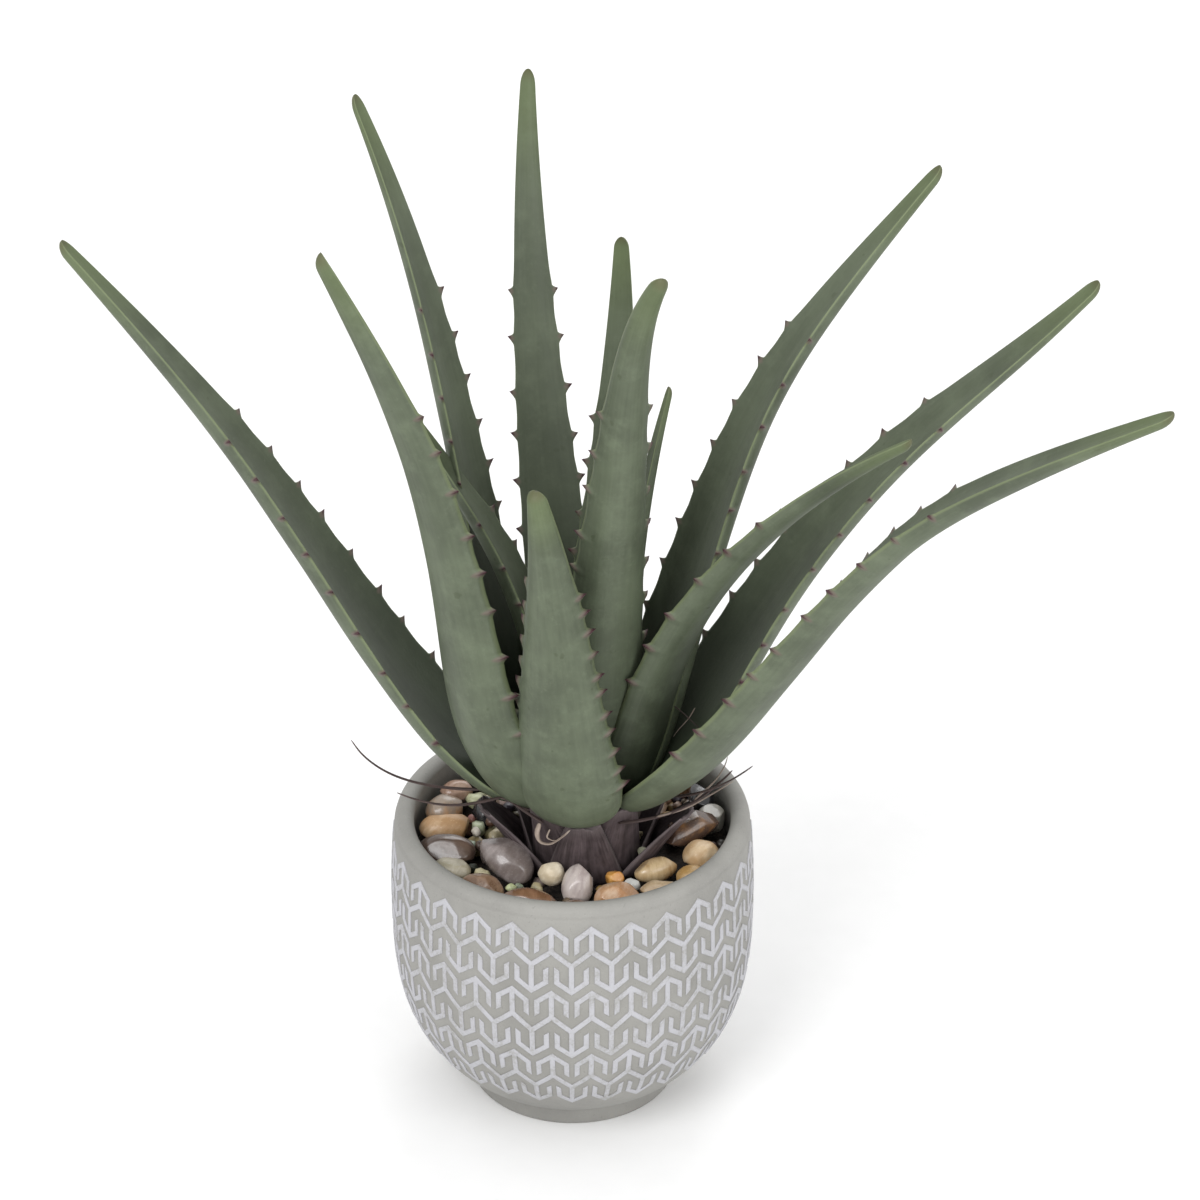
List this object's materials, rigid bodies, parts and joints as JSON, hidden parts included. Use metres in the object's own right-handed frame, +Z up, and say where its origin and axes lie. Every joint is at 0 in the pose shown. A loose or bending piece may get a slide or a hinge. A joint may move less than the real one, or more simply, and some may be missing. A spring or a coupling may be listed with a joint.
{
  "type": "potted aloe plant",
  "caption": "Rosette of long tapering toothed grey-green leaves rising from a short stem in a round cement pot topped with mixed pebbles.",
  "frame": {"origin": "middle of the flat underside of the pot's foot", "axes": "+Z up along the pot's axis; -Y is the front of the plant, +X its right side"},
  "size_m": [0.3998, 0.2543, 0.4199],
  "materials": {
    "pot": "matte, fine cement-like grain",
    "soil": "dark and crumbly",
    "stem": "dry and fibrous",
    "leaf": "waxy grey-green with a soft bloom",
    "dried_scale": "papery mauve-brown",
    "dried_fibre": "dry and dull",
    "stone_amber": "tumbled and polished",
    "stone_back_amber": "tumbled and polished",
    "stone_back_brown": "tumbled and polished",
    "stone_back_cream": "rough and chalky",
    "stone_back_grey": "tumbled and polished",
    "stone_back_olive": "tumbled and polished",
    "stone_back_rose": "tumbled and polished",
    "stone_back_slate": "tumbled and polished",
    "stone_back_tan": "tumbled and polished",
    "stone_back_umber": "tumbled and polished",
    "stone_black": "tumbled and polished",
    "stone_chestnut": "tumbled and polished",
    "stone_cream": "rough and chalky",
    "stone_dark_brown": "tumbled and polished",
    "stone_golden": "tumbled and polished",
    "stone_grey_tan": "tumbled and polished",
    "stone_honey": "tumbled and polished",
    "stone_long_brown": "tumbled and polished",
    "stone_mauve_point": "tumbled and polished",
    "stone_olive": "tumbled and polished",
    "stone_orange": "tumbled and polished",
    "stone_right_umber": "tumbled and polished",
    "stone_rough_tan": "rough and chalky",
    "stone_russet": "tumbled and polished",
    "stone_rust": "tumbled and polished",
    "stone_sand": "tumbled and polished",
    "stone_slate": "tumbled and polished",
    "stone_smooth_grey": "tumbled and polished",
    "stone_tan_block": "tumbled and polished",
    "stone_taupe": "tumbled and polished",
    "stone_umber": "tumbled and polished",
    "stone_white": "tumbled and polished"
  },
  "bodies": {
    "root": {"leaf_back": "leaf", "leaf_back_left": "leaf", "leaf_back_short": "leaf", "leaf_centre": "leaf", "leaf_front": "leaf", "leaf_front_left": "leaf", "leaf_left": "leaf", "leaf_left_inner": "leaf", "leaf_right": "leaf", "leaf_right_back": "leaf", "leaf_right_inner": "leaf", "leaf_right_low": "leaf", "leaf_right_short": "leaf", "pot": "pot", "scale_back": "dried_scale", "scale_back_left": "dried_scale", "scale_front": "dried_scale", "scale_front_left": "dried_scale", "scale_front_middle": "dried_scale", "scale_front_right": "dried_scale", "scale_left": "dried_scale", "scale_right": "dried_scale", "soil": "soil", "stem": "stem", "stone_amber": "stone_amber", "stone_back_amber": "stone_back_amber", "stone_back_brown": "stone_back_brown", "stone_back_cream": "stone_back_cream", "stone_back_grey": "stone_back_grey", "stone_back_olive": "stone_back_olive", "stone_back_rose": "stone_back_rose", "stone_back_slate": "stone_back_slate", "stone_back_tan": "stone_back_tan", "stone_back_umber": "stone_back_umber", "stone_black": "stone_black", "stone_chestnut": "stone_chestnut", "stone_cream": "stone_cream", "stone_dark_brown": "stone_dark_brown", "stone_golden": "stone_golden", "stone_grey_tan": "stone_grey_tan", "stone_honey": "stone_honey", "stone_long_brown": "stone_long_brown", "stone_mauve_point": "stone_mauve_point", "stone_olive": "stone_olive", "stone_orange": "stone_orange", "stone_right_umber": "stone_right_umber", "stone_rough_tan": "stone_rough_tan", "stone_russet": "stone_russet", "stone_rust": "stone_rust", "stone_sand": "stone_sand", "stone_slate": "stone_slate", "stone_smooth_grey": "stone_smooth_grey", "stone_tan_block": "stone_tan_block", "stone_taupe": "stone_taupe", "stone_umber": "stone_umber", "stone_white": "stone_white", "strand_left_lower": "dried_fibre", "strand_left_upper": "dried_fibre", "strand_right": "dried_fibre"}
  },
  "joints": []
}
